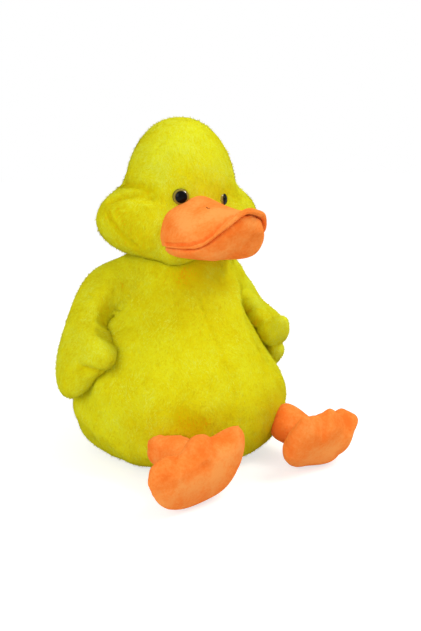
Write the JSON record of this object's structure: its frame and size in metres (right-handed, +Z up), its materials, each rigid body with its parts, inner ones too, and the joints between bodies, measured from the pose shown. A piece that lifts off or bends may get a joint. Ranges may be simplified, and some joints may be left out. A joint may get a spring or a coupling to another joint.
{
  "type": "plush duck",
  "caption": "Sitting stuffed duck: pear-shaped yellow body, crowned head with fat cheeks, arched orange bill, mitten wings, flat three-toed orange feet and safety eyes.",
  "frame": {"origin": "middle of the flat seat, on the surface the duck sits on", "axes": "+Z up, the duck looks along -Y and its left side is at +X"},
  "size_m": [0.2886, 0.3206, 0.3698],
  "materials": {
    "yellow_plush": "short knitted pile, warm yellow",
    "orange_velboa": "very short brushed pile, orange",
    "polyester_fibre": "loose white stuffing",
    "eye_plastic": "polished black pupil in a clear brown dome",
    "washer_plastic": "plain moulded locking washer"
  },
  "bodies": {
    "torso": {"torso_skin": "yellow_plush", "torso_filling": "polyester_fibre"},
    "neck": {"neck_filling": "polyester_fibre"},
    "head": {"head_skin": "yellow_plush", "head_filling": "polyester_fibre", "upper_bill_skin": "orange_velboa", "upper_bill_filling": "polyester_fibre", "lower_bill_skin": "orange_velboa", "lower_bill_filling": "polyester_fibre", "eye_left": "eye_plastic", "eye_right": "eye_plastic", "eye_washer_left": "washer_plastic", "eye_washer_right": "washer_plastic"},
    "wing_left": {"wing_left_skin": "yellow_plush", "wing_left_filling": "polyester_fibre"},
    "wing_right": {"wing_right_skin": "yellow_plush", "wing_right_filling": "polyester_fibre"},
    "leg_left": {"leg_left_skin": "orange_velboa", "leg_left_filling": "polyester_fibre"},
    "leg_right": {"leg_right_skin": "orange_velboa", "leg_right_filling": "polyester_fibre"},
    "foot_left": {"foot_left_skin": "orange_velboa", "foot_left_filling": "polyester_fibre"},
    "foot_right": {"foot_right_skin": "orange_velboa", "foot_right_filling": "polyester_fibre"},
    "tail": {"tail_skin": "yellow_plush", "tail_filling": "polyester_fibre"}
  },
  "joints": [
    {"name": "head_nod", "type": "hinge", "parent": "torso", "child": "neck", "pos_m": [0, 0, 0.203], "axis": [1, 0, 0], "range_deg": [-8, 8], "stiffness_Nm_per_rad": 3},
    {"name": "head_turn", "type": "hinge", "parent": "neck", "child": "head", "pos_m": [0, 0, 0.203], "axis": [0, 0, 1], "range_deg": [-25, 25], "stiffness_Nm_per_rad": 0.8},
    {"name": "wing_left_lift", "type": "hinge", "parent": "torso", "child": "wing_left", "pos_m": [0.0593, 0.019, 0.214], "axis": [0, -1, 0], "range_deg": [0, 45], "stiffness_Nm_per_rad": 0.3},
    {"name": "wing_right_lift", "type": "hinge", "parent": "torso", "child": "wing_right", "pos_m": [-0.0593, 0.019, 0.215], "axis": [0, 1, 0], "range_deg": [0, 45], "stiffness_Nm_per_rad": 0.3},
    {"name": "leg_left_lift", "type": "hinge", "parent": "torso", "child": "leg_left", "pos_m": [0.071, -0.09836, 0.0655], "axis": [-1, 0, 0], "range_deg": [0, 15], "stiffness_Nm_per_rad": 0.6},
    {"name": "leg_right_lift", "type": "hinge", "parent": "torso", "child": "leg_right", "pos_m": [-0.065, -0.10218, 0.0615], "axis": [-1, 0, 0], "range_deg": [0, 15], "stiffness_Nm_per_rad": 0.6},
    {"name": "foot_left_flex", "type": "hinge", "parent": "leg_left", "child": "foot_left", "pos_m": [0.08127, -0.1269, 0.01242], "axis": [0.9914, 0.1305, 0], "range_deg": [0, 35], "stiffness_Nm_per_rad": 0.3},
    {"name": "foot_right_flex", "type": "hinge", "parent": "leg_right", "child": "foot_right", "pos_m": [-0.06493, -0.14019, 0.01464], "axis": [0.9914, 0.1305, 0], "range_deg": [0, 35], "stiffness_Nm_per_rad": 0.3},
    {"name": "tail_lift", "type": "hinge", "parent": "torso", "child": "tail", "pos_m": [0, 0.10245, 0.11956], "axis": [1, 0, 0], "range_deg": [0, 20], "stiffness_Nm_per_rad": 0.2}
  ]
}
